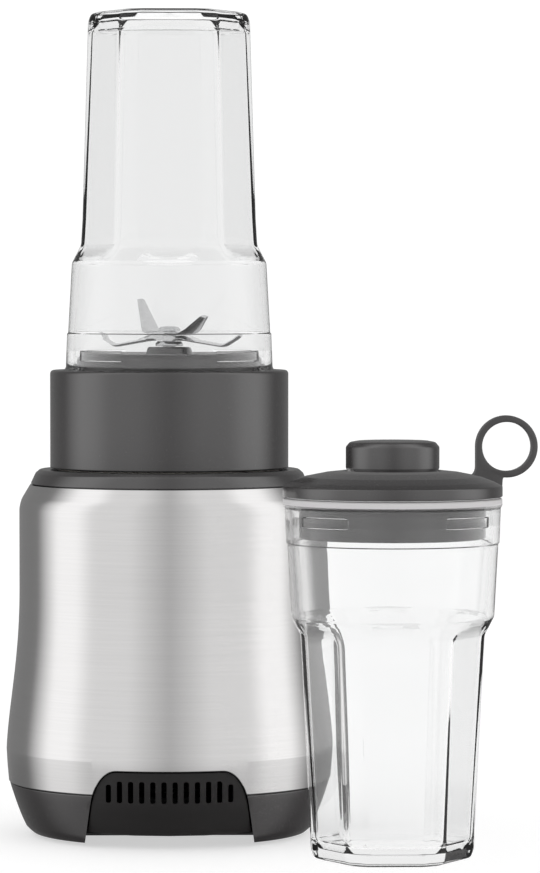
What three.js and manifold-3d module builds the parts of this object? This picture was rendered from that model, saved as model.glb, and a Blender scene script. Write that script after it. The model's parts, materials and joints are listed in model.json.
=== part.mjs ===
// Personal countertop blender: a motor base, an inverted blending cup screwed to its blade collar, and a
// second cup with a travel lid that stands beside it.
// Millimetres, +Z up, front towards -Y. The origin is on the base's axis, on the surface it stands on.
import * as THREE from "three";
import { mergeVertices } from "three/addons/utils/BufferGeometryUtils.js";
import Module from "manifold-3d";

const wasm = await Module();
wasm.setup();

// Driving dimensions
const NECK_RADIUS = 70.4; // straight upper part of the steel housing
const WIDE_RADIUS = 76.6; // widest line of the steel housing
const WIDE_HEIGHT = 40.6; // height of the crease at the widest line
const STEEL_BOTTOM = 25.4;
const STEEL_TOP = 164.3;
const STEEL_WALL = 1.2;
const DECK_TOP = 171.5;
const DECK_UNDERSIDE = 165.2;
const WELL_FLOOR = 169;
const CHANNEL_FLOOR = 168;
const SKIRT_BOTTOM = 1.6;
const SKIRT_WALL = 2.6;
const PLATE_BOTTOM = 2.2;
const PLATE_THICKNESS = 2.4;
const COLLAR_RADIUS = 55.9;
const COLLAR_BOTTOM = 172;
const COLLAR_TOP = 218;
const COLLAR_BORE = 52.9;
const PLUG_RADIUS = 43.4; // part of the collar that enters the cup's mouth
const CUP_RIM_HEIGHT = 215; // the inverted cup's rim, just below the collar's top
const CUP_LENGTH = 170.5;
const TRAVEL_CUP_LENGTH = 162.5;
const TRAVEL_CUP_X = 100;
const TRAVEL_CUP_Y = -99;
const RIM_RADIUS = 49.2;
const CUP_WALL = 3.3;
const INLET_HEIGHT = 15;
const SHAFT_RADIUS = 3;
const SHAFT_GAP = 0.35; // between a shaft and what it passes through
const GAP = 0.4; // between neighbouring pieces
const MOTOR_BOTTOM = 56; // lamination stack
const MOTOR_TOP = 92;
const LUG_COUNT = 4; // collar lugs, interlock ring notches and cup thread bars
const COUPLING_LUGS = 3;
const RING_STEPS = 32; // facets round a large turned piece
const CUP_STEPS = 24; // four facets to each panel and rib
const CORE_STEPS = 24; // inside pieces
const SMALL_STEPS = 16;

const DEGREE = Math.PI / 180;

// Materials
function finish(color, roughness, metalness, opacity = 1) {
  const material = new THREE.MeshStandardMaterial({ color, roughness, metalness });
  material.opacity = opacity;
  material.transparent = opacity < 1;
  return material;
}

const steel = finish(0xc2c1c0, 0.32, 1);
const bladeSteel = finish(0xd2d2d2, 0.2, 1);
const shaftSteel = finish(0xb4b6b8, 0.3, 1);
const laminations = finish(0x6f6f72, 0.5, 0.9);
const copper = finish(0xb5653a, 0.4, 0.9);
const brass = finish(0xc9a350, 0.35, 1);
const charcoal = finish(0x4f4b4b, 0.48, 0);
const darkPlastic = finish(0x37343a, 0.55, 0);
const innerPlastic = finish(0x2a2a2c, 0.6, 0);
const whiteNylon = finish(0xdcdad2, 0.5, 0);
const rubber = finish(0x1d1d1e, 0.85, 0);
const clearSeal = finish(0xc9c9cb, 0.35, 0, 0.7);
const clearCup = finish(0xe9edef, 0.05, 0, 0.3);
const carbon = finish(0x1b1b1c, 0.7, 0.1);
const boardGreen = finish(0x2e5d3f, 0.6, 0);

// Solids: three.js geometry in, joined or cut, three.js geometry out.
function toSolid(geometry) {
  const bare = geometry.clone();
  bare.deleteAttribute("normal");
  bare.deleteAttribute("uv");
  const merged = mergeVertices(bare, 1e-4);
  const index = Uint32Array.from(merged.index.array);
  const positions = merged.attributes.position.array;
  const made = new wasm.Manifold(new wasm.Mesh({ numProp: 3, vertProperties: positions, triVerts: index }));
  if (made.volume() > 0) {
    return made;
  }
  for (let i = 0; i < index.length; i += 3) {
    [index[i + 1], index[i + 2]] = [index[i + 2], index[i + 1]];
  }
  return new wasm.Manifold(new wasm.Mesh({ numProp: 3, vertProperties: positions, triVerts: index }));
}

function fromSolid(solid) {
  const mesh = solid.getMesh();
  const geometry = new THREE.BufferGeometry();
  geometry.setAttribute("position", new THREE.BufferAttribute(new Float32Array(mesh.vertProperties), 3));
  geometry.setIndex(new THREE.BufferAttribute(new Uint32Array(mesh.triVerts), 1));
  geometry.computeVertexNormals();
  return geometry;
}

function join(...geometries) {
  return fromSolid(geometries.map(toSolid).reduce((all, next) => all.add(next)));
}

function cut(geometry, ...tools) {
  return fromSolid(tools.map(toSolid).reduce((all, tool) => all.subtract(tool), toSolid(geometry)));
}

function overlap(geometry, other) {
  return fromSolid(toSolid(geometry).intersect(toSolid(other)));
}

// A closed or axis-to-axis outline of [radius, height] points, turned about Z.
function turned(outline, steps = RING_STEPS) {
  const points = outline.map(([radius, height]) => new THREE.Vector2(radius, height));
  if (outline[0][0] > 0) {
    points.push(points[0].clone());
  }
  return new THREE.LatheGeometry(points, steps).rotateX(Math.PI / 2);
}

function ring(innerRadius, outerRadius, bottom, top, steps = SMALL_STEPS) {
  return turned(
    [
      [innerRadius, bottom],
      [outerRadius, bottom],
      [outerRadius, top],
      [innerRadius, top],
    ],
    steps,
  );
}

function rod(radius, bottom, top, x = 0, y = 0, steps = 16) {
  return new THREE.CylinderGeometry(radius, radius, top - bottom, steps)
    .rotateX(Math.PI / 2)
    .translate(x, y, (bottom + top) / 2);
}

// A box given by its lowest and highest corners.
function block(low, high) {
  const size = high.map((value, axis) => value - low[axis]);
  const middle = high.map((value, axis) => (value + low[axis]) / 2);
  return new THREE.BoxGeometry(...size).translate(...middle);
}

// An outline drawn in plan (x, y), pulled up from bottom to top.
function raised(shape, bottom, top, curveSegments = 8) {
  const options = { depth: top - bottom, bevelEnabled: false, curveSegments };
  return new THREE.ExtrudeGeometry(shape, options).translate(0, 0, bottom);
}

// An outline drawn in front view (x, z), pulled along Y from near to far.
function pulledBack(shape, near, far, curveSegments = 8) {
  const options = { depth: far - near, bevelEnabled: false, curveSegments };
  return new THREE.ExtrudeGeometry(shape, options).rotateX(Math.PI / 2).translate(0, far, 0);
}

// A piece of a ring between two radii, centred on an angle in degrees.
function ringSector(innerRadius, outerRadius, bottom, top, centreDegrees, widthDegrees, arcSteps = 4) {
  const start = (centreDegrees - widthDegrees / 2) * DEGREE;
  const end = (centreDegrees + widthDegrees / 2) * DEGREE;
  const shape = new THREE.Shape();
  shape.absarc(0, 0, outerRadius, start, end, false);
  shape.absarc(0, 0, innerRadius, end, start, true);
  shape.closePath();
  return raised(shape, bottom, top, arcSteps);
}

function around(count, makeOne, firstDegrees = 0) {
  return Array.from({ length: count }, (_, i) => makeOne(firstDegrees + (i * 360) / count));
}

function polar(radius, degrees) {
  return [radius * Math.cos(degrees * DEGREE), radius * Math.sin(degrees * DEGREE)];
}

// A wire of round section wound about Z.
function coilSpring(wireRadius, coilRadius, bottom, top, turns, stepsPerTurn = 8) {
  const points = [];
  const count = turns * stepsPerTurn;
  for (let i = 0; i <= count; i += 1) {
    const [x, y] = polar(coilRadius, (i * 360) / stepsPerTurn);
    points.push(new THREE.Vector3(x, y, bottom + ((top - bottom) * i) / count));
  }
  const path = new THREE.CatmullRomCurve3(points);
  const section = new THREE.Shape();
  section.absarc(0, 0, wireRadius, 0, 2 * Math.PI, false);
  return new THREE.ExtrudeGeometry(section, { steps: count, curveSegments: 3, extrudePath: path });
}

const blender = new THREE.Group();

function addTo(group, name, geometry, material) {
  const mesh = new THREE.Mesh(geometry, material);
  mesh.name = name;
  group.add(mesh);
  return mesh;
}

function add(name, geometry, material) {
  return addTo(blender, name, geometry, material);
}

// ---------- Motor base: casing ----------

// Opening in the front of the casing, drawn in front view; margin grows it on every side.
function ventOutline(margin) {
  const halfFoot = 39.4 + margin;
  const halfShoulder = 35.6 + margin;
  const halfTop = 24;
  const shoulder = 23;
  const top = 36.4 + margin;
  const shape = new THREE.Shape();
  shape.moveTo(-halfFoot, -5);
  shape.lineTo(halfFoot, -5);
  shape.lineTo(halfShoulder, shoulder);
  shape.quadraticCurveTo(halfShoulder - 3.6, top, halfTop, top);
  shape.lineTo(-halfTop, top);
  shape.quadraticCurveTo(-halfShoulder + 3.6, top, -halfShoulder, shoulder);
  shape.closePath();
  return shape;
}

function steelHousing() {
  const flare = new THREE.CubicBezierCurve(
    new THREE.Vector2(WIDE_RADIUS, WIDE_HEIGHT),
    new THREE.Vector2(WIDE_RADIUS - 1, 62),
    new THREE.Vector2(NECK_RADIUS, 82),
    new THREE.Vector2(NECK_RADIUS, 116),
  );
  const outer = [[75.5, STEEL_BOTTOM], [76.4, 33]];
  for (const point of flare.getPoints(4)) {
    outer.push([point.x, point.y]);
  }
  outer.push([NECK_RADIUS, 153.6], [69.4, 157.6], [65.4, STEEL_TOP]);
  const inner = outer.map(([radius, height]) => [radius - STEEL_WALL, height]).reverse();
  return cut(turned([...outer, ...inner]), pulledBack(ventOutline(GAP), -90, -40));
}

function skirtRadius(height) {
  const rise = (height - SKIRT_BOTTOM) / (STEEL_BOTTOM - SKIRT_BOTTOM);
  return 65.2 + 10 * rise ** 0.72;
}

function baseSkirt() {
  const heights = [3, 6, 10, 15, 20, 25];
  const outer = [[64.2, SKIRT_BOTTOM], ...heights.map((height) => [skirtRadius(height), height])];
  const inner = [
    [73.6, 25],
    [73.6, 33],
    [71.4, 33],
    [71.4, 22],
    [skirtRadius(12) - SKIRT_WALL, 12],
    [63, 5],
    [63, SKIRT_BOTTOM],
  ];
  const shell = turned([...outer, ...inner]);
  const inletHole = new THREE.CylinderGeometry(8.4, 8.4, 30, 20).translate(0, 70, INLET_HEIGHT);
  return cut(shell, pulledBack(ventOutline(GAP), -90, -40), inletHole);
}

function ventGrille() {
  const front = [[65.4, 7], [68.6, 11], [71.4, 16], [73, 21], [74.2, 28], [74.6, 37]];
  const back = front.map(([radius, height]) => [radius - 2.4, height]).reverse();
  const panel = overlap(turned([...front, ...back]), pulledBack(ventOutline(-GAP), -90, -40));
  const slots = [];
  const slotCount = 12;
  const pitch = 5.07;
  for (let i = 0; i < slotCount; i += 1) {
    const x = (i - (slotCount - 1) / 2) * pitch;
    const atEnd = i === 0 || i === slotCount - 1;
    slots.push(block([x - 1.2, -90, 22], [x + 1.2, -50, atEnd ? 30.4 : 32]));
  }
  return cut(panel, ...slots);
}

const FOOT_CIRCLE = 52;
const FOOT_ANGLES = [20, 160, 200, 340];
const SCREW_CIRCLE = 46;
const SCREW_ANGLES = [0, 60, 120, 180];
const PLATE_STEP_Y = -28; // in front of this the plate steps up, out of sight behind the vent
const PLATE_STEP_HEIGHT = 6;

function bottomPlate() {
  const top = PLATE_BOTTOM + PLATE_THICKNESS;
  const whole = rod(62.4, PLATE_BOTTOM, PLATE_STEP_HEIGHT + PLATE_THICKNESS, 0, 0, CORE_STEPS);
  const underStep = block([-70, -70, 0], [70, PLATE_STEP_Y, PLATE_STEP_HEIGHT]);
  const behindStep = block([-70, PLATE_STEP_Y + PLATE_THICKNESS, top], [70, 70, 20]);
  const disc = cut(whole, underStep, behindStep);
  const bosses = SCREW_ANGLES.map((degrees) => rod(6, top - 1, 8, ...polar(SCREW_CIRCLE, degrees), 12));
  const counterbores = SCREW_ANGLES.map((degrees) => rod(4.1, 0, 5.4, ...polar(SCREW_CIRCLE, degrees), 12));
  const screwHoles = SCREW_ANGLES.map((degrees) => rod(2, 0, 10, ...polar(SCREW_CIRCLE, degrees), 8));
  const footHoles = FOOT_ANGLES.map((degrees) => rod(4.4, 0, 10, ...polar(FOOT_CIRCLE, degrees), 12));
  const airSlots = [-2, -1, 0, 1, 2].map((row) => block([-16, row * 8 - 1.5 + 24, 0], [16, row * 8 + 1.5 + 24, 10]));
  const gateGroove = ring(4, 5, 0, PLATE_BOTTOM + 0.6);
  return cut(join(disc, ...bosses), ...counterbores, ...screwHoles, ...footHoles, ...airSlots, gateGroove);
}

function foot(degrees) {
  const outline = [[0, 0], [6.4, 0], [7, 0.6], [7, 1.8], [4, 1.8], [4, 6.4], [0, 6.4]];
  return turned(outline, 16).translate(...polar(FOOT_CIRCLE, degrees), 0);
}

function bottomScrew(degrees) {
  const outline = [[0, 3.9], [1.1, 3], [3.6, 3], [3.6, 4.9], [1.6, 4.9], [1.6, 18], [0, 18]];
  return turned(outline, 12).translate(...polar(SCREW_CIRCLE, degrees), 0);
}

function cordInlet() {
  const outline = [[3.6, 58], [9.6, 58], [9.6, 61.4], [7.8, 61.4], [7.8, 74.4], [6.4, 75.6], [3.6, 75.6]];
  return turned(outline, 20).rotateX(-Math.PI / 2).translate(0, 0, INLET_HEIGHT);
}

const DECK_POST_CIRCLE = 38;
const DECK_POST_COUNT = 3;
const FIRST_POST_DEGREES = 30;
const PLUNGER_CIRCLE = 50.3;
const PLUNGER_DEGREES = 100;

function topDeck() {
  const outline = [
    [8.5, DECK_UNDERSIDE],
    [59.4, DECK_UNDERSIDE],
    [59.4, 150],
    [61.6, 150],
    [61.6, 164.8],
    [65.1, 164.8],
    [62.8, 169.8],
    [60.8, DECK_TOP],
    [53.4, DECK_TOP],
    [53.4, CHANNEL_FLOOR],
    [47.2, CHANNEL_FLOOR],
    [47.2, 184],
    [44.2, 184],
    [44.2, WELL_FLOOR],
    [12.5, WELL_FLOOR],
    [12.5, 170.2],
    [8.5, 170.2],
  ];
  const posts = around(DECK_POST_COUNT, (degrees) => {
    return rod(4.5, 132.6, DECK_UNDERSIDE + 0.2, ...polar(DECK_POST_CIRCLE, degrees), 10);
  }, FIRST_POST_DEGREES);
  const plungerHole = rod(2.6, 160, 170, ...polar(PLUNGER_CIRCLE, PLUNGER_DEGREES));
  const drain = rod(2.5, 160, 175, ...polar(36, 90), 12);
  return cut(join(turned(outline), ...posts), plungerHole, drain);
}

// ---------- Motor base: interlock ----------

const LUG_DEGREES = 14;
const UNLOCK_DEGREES = 30;
const PLUNGER_RISE = 2;
const INTERLOCK_BOTTOM = 168.6;

// Sloping relief under the ring: it lets the plunger rise as the ring turns to the unlocked end.
function camRelief() {
  const span = UNLOCK_DEGREES + 5;
  const box = new THREE.BoxGeometry(1, 1, 1, 12, 1, 1).translate(0.5, 0.5, 0.5);
  const position = box.attributes.position;
  for (let i = 0; i < position.count; i += 1) {
    const along = position.getX(i) * span;
    const radius = 47 + 6 * position.getY(i);
    const roof = INTERLOCK_BOTTOM + (PLUNGER_RISE * Math.min(along, UNLOCK_DEGREES)) / UNLOCK_DEGREES;
    const height = position.getZ(i) > 0.5 ? roof + 0.02 : INTERLOCK_BOTTOM - 1;
    const [x, y] = polar(radius, PLUNGER_DEGREES - along);
    position.setXYZ(i, x, y, height);
  }
  return box;
}

function interlockRing() {
  const body = ring(47.9, 52.4, INTERLOCK_BOTTOM, 174, RING_STEPS);
  const notches = around(LUG_COUNT, (degrees) => {
    return ringSector(49.5, 54, 171.7, 176, degrees, LUG_DEGREES + 1.4);
  }, 45);
  return cut(body, camRelief(), ...notches);
}

function interlockPlunger() {
  const outline = [
    [0, 154.6],
    [2, 154.6],
    [2, 160.4],
    [3.4, 160.4],
    [3.4, 162],
    [2, 162],
    [2, 167.6],
    [1.4, 168.2],
    [0, 168.2],
  ];
  return turned(outline, 12).translate(...polar(PLUNGER_CIRCLE, PLUNGER_DEGREES), 0);
}

function interlockSwitch() {
  const [x, y] = polar(PLUNGER_CIRCLE, PLUNGER_DEGREES);
  const body = block([x - 10, y - 4, 142], [x + 10, y + 4, 152]);
  const lever = block([x - 8, y - 2, 152], [x - 6, y + 2, 154]);
  const arm = block([x - 8, y - 2, 153.6], [x + 5, y + 2, 154.2]);
  const pins = [-7, 0, 7].map((offset) => block([x + offset - 1, y - 0.5, 136], [x + offset + 1, y + 0.5, 143]));
  return join(body, lever, arm, ...pins);
}

// ---------- Motor base: motor ----------

function motorCradle() {
  const plate = rod(52, 40, 45, 0, 0, CORE_STEPS);
  const windows = around(4, (degrees) => ringSector(15, 33, 30, 60, degrees, 58), 0);
  const hub = rod(12, 38, 47, 0, 0, SMALL_STEPS);
  const bearingSeat = rod(8.4, 39.6, 60, 0, 0, SMALL_STEPS);
  const shaftHole = rod(5, 30, 60, 0, 0, SMALL_STEPS);
  const legs = around(4, (degrees) => rod(5, 8.4, 41, ...polar(SCREW_CIRCLE, degrees), 8), 45);
  const legHoles = around(4, (degrees) => rod(2, 0, 20, ...polar(SCREW_CIRCLE, degrees), 8), 45);
  const stackRests = around(4, (degrees) => rod(3, 44, MOTOR_BOTTOM - GAP, ...polar(34.5, degrees), 8), 45);
  const boardTongue = block([-12, 48, 40], [12, 59, 45]);
  const frame = join(plate, hub, ...legs, ...stackRests, boardTongue);
  return cut(frame, ...windows.map((window) => cut(window, rod(12.4, 0, 90, 0, 0, SMALL_STEPS))), bearingSeat,
    shaftHole, ...legHoles);
}

function upperMotorBracket() {
  const plate = rod(45, 122, 126, 0, 0, CORE_STEPS);
  const hub = rod(12, 118, 128, 0, 0, SMALL_STEPS);
  const seat = rod(8.4, 110, 126.4, 0, 0, SMALL_STEPS);
  const shaftHole = rod(5, 110, 140, 0, 0, SMALL_STEPS);
  const windows = around(4, (degrees) => ringSector(15, 32, 110, 140, degrees, 52), 0);
  const legs = around(4, (degrees) => rod(3, MOTOR_TOP + GAP, 123, ...polar(34.5, degrees), 8), 45);
  return cut(join(plate, hub, ...legs), seat, shaftHole, ...windows);
}

function bearing(bottom) {
  return ring(SHAFT_RADIUS + SHAFT_GAP, 8, bottom, bottom + 6);
}

function rubberMount(degrees) {
  const [bottom, top] = [126 + GAP, 132.6 - GAP];
  const outline = [[1.8, bottom], [6.4, bottom], [4.8, (bottom + top) / 2], [6.4, top], [1.8, top]];
  return turned(outline, 16).translate(...polar(DECK_POST_CIRCLE, degrees), 0);
}

function motorStator() {
  const yoke = ring(30, 38, MOTOR_BOTTOM, MOTOR_TOP, CORE_STEPS);
  const poles = [0, 180].map((degrees) => ringSector(20, 31, MOTOR_BOTTOM, MOTOR_TOP, degrees, 70, 8));
  return join(yoke, ...poles);
}

function fieldCoil(degrees) {
  const winding = ringSector(21, 29.2, MOTOR_BOTTOM - 6, MOTOR_TOP + 6, degrees, 122, 12);
  const poleOpening = ringSector(18, 33, MOTOR_BOTTOM - GAP, MOTOR_TOP + GAP, degrees, 74, 8);
  return cut(winding, poleOpening);
}

function motorShaft() {
  const outline = [[0, 19], [2.6, 19], [SHAFT_RADIUS, 19.4], [SHAFT_RADIUS, 184.4], [2.5, 185], [0, 185]];
  return turned(outline, SMALL_STEPS);
}

function armature() {
  const bore = SHAFT_RADIUS + SHAFT_GAP;
  const outline = [
    [bore, MOTOR_BOTTOM - 5],
    [13, MOTOR_BOTTOM - 5],
    [15.5, MOTOR_BOTTOM - 3],
    [15.5, MOTOR_BOTTOM],
    [18.8, MOTOR_BOTTOM],
    [18.8, MOTOR_TOP],
    [15.5, MOTOR_TOP],
    [15.5, MOTOR_TOP + 3],
    [13, MOTOR_TOP + 5],
    [bore, MOTOR_TOP + 5],
  ];
  return turned(outline, SMALL_STEPS);
}

function commutator() {
  const barrel = ring(SHAFT_RADIUS + SHAFT_GAP, 10, 100, 115);
  const slots = around(12, (degrees) => block([9, -0.3, 102], [11, 0.3, 116]).rotateZ(degrees * DEGREE));
  return cut(barrel, ...slots);
}

// The brush gear lies along Y; side is -1 for the front one and 1 for the back one.
function brushHolder(side) {
  const holder = block([-5, 12.4, 101.6], [5, 30, 113.6]);
  const channel = block([-2.9, 5, 104.6], [2.9, 28, 111.2]);
  const terminal = block([-2, 29, 106], [2, 34, 107]);
  return cut(join(holder, terminal), channel).rotateZ(side > 0 ? 0 : Math.PI);
}

function carbonBrush(side) {
  return block([-2.5, 10.4, 105], [2.5, 20, 110.8]).rotateZ(side > 0 ? 0 : Math.PI);
}

function brushSpring(side) {
  const spring = coilSpring(0.35, 1.9, 20.8, 27.2, 3);
  return spring.rotateX(-Math.PI / 2).translate(0, 0, 107.9).rotateZ(side > 0 ? 0 : Math.PI);
}

function coolingFan() {
  const bore = SHAFT_RADIUS + SHAFT_GAP;
  const hub = ring(bore, 8, 21, 36);
  const disc = ring(7, 31, 33, 34.6, CORE_STEPS);
  const vane = (degrees) => block([7, -0.8, 23], [30, 0.8, 33.6]).rotateZ(degrees * DEGREE);
  return join(hub, disc, ...around(9, vane));
}

function fanShroud() {
  const duct = ring(34, 36.4, 18, 39.4, CORE_STEPS);
  const floor = ring(14, 35, 18, 20, CORE_STEPS);
  const outlet = block([-24, -40, 20.6], [24, 0, 37]);
  return cut(join(duct, floor), outlet);
}

function controlBoard() {
  const board = block([-26, 56, 45 + GAP], [26, 57.6, 84]);
  const capacitor = new THREE.CylinderGeometry(5, 5, 12, 14).translate(-15, 50.4, 72);
  const relay = block([2, 44, 62], [18, 56.4, 78]);
  const choke = block([-20, 47, 50], [-6, 56.4, 60]);
  const terminals = block([4, 48, 48], [20, 56.4, 54]);
  return join(board, capacitor, relay, choke, terminals);
}

// Drip slinger: a small umbrella on the shaft above the well's hole.
function dripSlinger() {
  const bore = SHAFT_RADIUS + SHAFT_GAP;
  const outline = [[bore, 171], [15.2, 171], [15.2, 169.8], [16.4, 169.8], [16.4, 172.2], [bore, 173.2]];
  return turned(outline, SMALL_STEPS);
}

function driveCoupling() {
  const bore = SHAFT_RADIUS + SHAFT_GAP;
  const body = turned(
    [[bore, 173.6], [10, 173.6], [13, 176], [13, 185.6], [12.4, 186.2], [bore, 186.2]],
    SMALL_STEPS,
  );
  const lugs = around(COUPLING_LUGS, (degrees) => ringSector(5, 12.4, 186, 191.4, degrees, 24, 3));
  return join(body, ...lugs);
}

// ---------- Blade collar and cutter ----------

const BOSS_TOP = 229;
const BOSS_BOTTOM = 203;
const BOSS_BORE = 5.4;
const DRIVEN_LUG_OFFSET = 45; // leaves equal play on both sides of the twist

function bladeCollar() {
  const outline = [
    [BOSS_BORE, BOSS_BOTTOM],
    [10.4, BOSS_BOTTOM],
    [10.4, 219.6],
    [40.4, 219.6],
    [40.4, 210.4],
    [COLLAR_BORE, 210.4],
    [COLLAR_BORE, COLLAR_BOTTOM],
    [COLLAR_RADIUS, COLLAR_BOTTOM],
    [COLLAR_RADIUS, COLLAR_TOP - 1.4],
    [COLLAR_RADIUS - 1.4, COLLAR_TOP],
    [50.6, COLLAR_TOP],
    [50.6, 213],
    [PLUG_RADIUS, 213],
    [PLUG_RADIUS, 222.6],
    [40.4, 226],
    [32, 223.2],
    [12, 222.8],
    [10, BOSS_TOP],
    [BOSS_BORE, BOSS_TOP],
  ];
  const lugs = around(LUG_COUNT, (degrees) => {
    return ringSector(50.2, 54, 172.4, 180, degrees, LUG_DEGREES);
  }, 45);
  const threads = around(LUG_COUNT, (degrees) => ringSector(42, 44.1, 216, 218, degrees, 34), 45);
  return join(turned(outline), ...lugs, ...threads);
}

function cutterSleeve(bottom, top) {
  return ring(SHAFT_RADIUS + SHAFT_GAP, BOSS_BORE - 0.3, bottom, top, 16);
}

function cutterShaft() {
  const outline = [[0, 189], [2.6, 189], [SHAFT_RADIUS, 189.4], [SHAFT_RADIUS, 237], [0, 237]];
  return turned(outline, SMALL_STEPS);
}

function drivenCoupling() {
  const bore = SHAFT_RADIUS + SHAFT_GAP;
  const body = turned([[bore, 192.2], [13, 192.2], [13, 198], [9, 201.6], [bore, 201.6]], SMALL_STEPS);
  const lugs = around(COUPLING_LUGS, (degrees) => {
    return ringSector(5, 12.4, 187, 192.6, degrees, 24, 3);
  }, DRIVEN_LUG_OFFSET);
  return join(body, ...lugs);
}

function retainingClip() {
  return cut(ring(SHAFT_RADIUS + SHAFT_GAP, 4.8, 202, 202.7, 16), block([-1.2, 0, 200], [1.2, 8, 205]));
}

function bladeSpacer() {
  return turned([[3.35, 229.4], [6.6, 229.4], [6.6, 230.4], [5.6, 231.6], [3.35, 231.6]], SMALL_STEPS);
}

// A strip seen from its side: the upper face through the given points and the lower face below it.
function bentStrip(upperFace, thickness) {
  const shape = new THREE.Shape();
  upperFace.forEach(([x, z], i) => (i === 0 ? shape.moveTo(x, z) : shape.lineTo(x, z)));
  const lowerFace = upperFace.map(([x, z], i) => {
    const before = upperFace[Math.max(i - 1, 0)];
    const after = upperFace[Math.min(i + 1, upperFace.length - 1)];
    const slope = Math.atan2(after[1] - before[1], after[0] - before[0]);
    return [x + thickness * Math.sin(slope), z - thickness * Math.cos(slope)];
  });
  lowerFace.reverse().forEach(([x, z]) => shape.lineTo(x, z));
  shape.closePath();
  return pulledBack(shape, -12, 12);
}

// Plan of a two-armed blade; each arm is [half width at root, root distance, half width at tip, tip distance].
function bladePlan(left, right, bottom, top) {
  const shape = new THREE.Shape();
  shape.moveTo(-left[3], -left[2] * 0.2);
  shape.lineTo(-left[1], -left[0]);
  shape.lineTo(right[1], -right[0]);
  shape.lineTo(right[3], -right[2]);
  shape.lineTo(right[3], right[2] * 0.2);
  shape.lineTo(right[1], right[0]);
  shape.lineTo(-left[1], left[0]);
  shape.lineTo(-left[3], left[2]);
  shape.closePath();
  return raised(shape, bottom, top);
}

const LOWER_BLADE_DEGREES = -25;
const UPPER_BLADE_DEGREES = -58;

function lowerBlade() {
  const side = bentStrip(
    [[-36.5, 234.6], [-28.5, 230.2], [-9, 233.3], [9, 233.3], [28.5, 230.2], [36.5, 234.6]],
    1.4,
  );
  const plan = bladePlan([5.6, 8, 3.4, 37], [5.6, 8, 3.4, 37], 225, 240);
  const bore = rod(SHAFT_RADIUS + SHAFT_GAP, 220, 240);
  return cut(overlap(side, plan), bore).rotateZ(LOWER_BLADE_DEGREES * DEGREE);
}

function upperBlade() {
  const side = bentStrip([[-27.2, 252], [-15, 235.2], [16, 235.2], [32, 244]], 1.4);
  const plan = bladePlan([6, 13, 3.2, 27.4], [6, 14, 3.6, 32.4], 230, 260);
  const bore = rod(SHAFT_RADIUS + SHAFT_GAP, 220, 240);
  return cut(overlap(side, plan), bore).rotateZ(UPPER_BLADE_DEGREES * DEGREE);
}

function bladeNut() {
  const outline = [[0, 237.5], [3.6, 237.5], [3.6, 235.6], [5.2, 235.6], [5.2, 237.6], [4, 238.7], [0, 239.1]];
  return turned(outline, 6);
}

// ---------- Cups ----------

const PANEL_COUNT = 6;
const PANEL_HALF_DEGREES = 22.5;

// How far a flat panel pulls a round wall in: 1 on the ribs, less in the middle of a panel.
function panelFactor(degrees, fade) {
  const pitch = 360 / PANEL_COUNT;
  const fromCentre = Math.abs(((((degrees % pitch) + pitch + pitch / 2) % pitch) - pitch / 2));
  if (fromCentre >= PANEL_HALF_DEGREES - 0.01) {
    return 1;
  }
  const flat = Math.cos(PANEL_HALF_DEGREES * DEGREE) / Math.cos(fromCentre * DEGREE);
  return 1 + (flat - 1) * fade;
}

// Distances from the rim: the mouth is round, then a shoulder steps in to the panelled body.
// The cup stands mouth up with its closed end at z = 0.
function cup(length, endRadius) {
  const shoulderStart = 53;
  const shoulderEnd = 61.5;
  const outer = [
    [RIM_RADIUS, 0],
    [RIM_RADIUS, 3.1],
    [48.5, 4.4],
    [47.9, 20],
    [47.4, 20.4],
    [45.6, shoulderStart],
    [41.3, shoulderEnd],
    [40.6, shoulderEnd + 12],
    [endRadius, length - 5],
    [endRadius - 1.5, length - 1.4],
    [endRadius - 5, length],
    [0, length],
  ];
  const inner = [
    [0, length - 5],
    [endRadius - CUP_WALL - 6, length - 5.4],
    [endRadius - CUP_WALL - 1, length - 9],
    [40.6 - CUP_WALL, shoulderEnd + 12],
    [41.3 - CUP_WALL, shoulderEnd],
    [45.6 - CUP_WALL, shoulderStart],
    [44.9, 20],
    [45.3, 12],
    [45.3, 0],
  ];
  const outline = [...inner, ...outer].map(([radius, depth]) => [radius, length - depth]);
  const shell = turned(outline, CUP_STEPS).rotateZ(Math.PI / CUP_STEPS);
  const position = shell.attributes.position;
  for (let i = 0; i < position.count; i += 1) {
    const x = position.getX(i);
    const y = position.getY(i);
    const depth = length - position.getZ(i);
    const fade = THREE.MathUtils.clamp((depth - shoulderStart) / (shoulderEnd - shoulderStart), 0, 1);
    const factor = panelFactor(Math.atan2(y, x) / DEGREE + 90, fade);
    position.setXYZ(i, x * factor, y * factor, position.getZ(i));
  }
  const threadBars = around(LUG_COUNT, (degrees) => {
    return ringSector(44.5, 46.4, length - 12.3, length - 7.3, degrees, 34);
  }, 45);
  return join(shell, ...threadBars);
}

function blendingCup() {
  return cup(CUP_LENGTH, 37.9).rotateX(Math.PI).translate(0, 0, CUP_RIM_HEIGHT + CUP_LENGTH);
}

function cupSeal() {
  return ring(44.4, 49.8, 213.4, 214.6, RING_STEPS);
}

// ---------- Travel lid, drawn about the travel cup's own axis ----------

const LID_NECK_TOP = 181;

function travelLid() {
  const rim = TRAVEL_CUP_LENGTH;
  const outline = [
    [12, 171],
    [38, rim + 4.5],
    [39.3, rim + 3],
    [39.3, rim - 18],
    [41.8, rim - 18],
    [41.8, rim + 2],
    [48.6, rim + 2],
    [48.6, rim + 0.7],
    [49.3, rim + 0.7],
    [49.3, rim + 5.4],
    [45.5, rim + 7.4],
    [39.7, rim + 9.6],
    [30, rim + 11.5],
    [22.2, rim + 12.3],
    [21.8, 173.8],
    [14.4, 173.8],
    [14.4, LID_NECK_TOP],
    [12, LID_NECK_TOP],
  ];
  return join(cut(turned(outline), ventHole()), carryLoop());
}

function ventHole() {
  return rod(1, 160, 180, -30, 0, 8);
}

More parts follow.
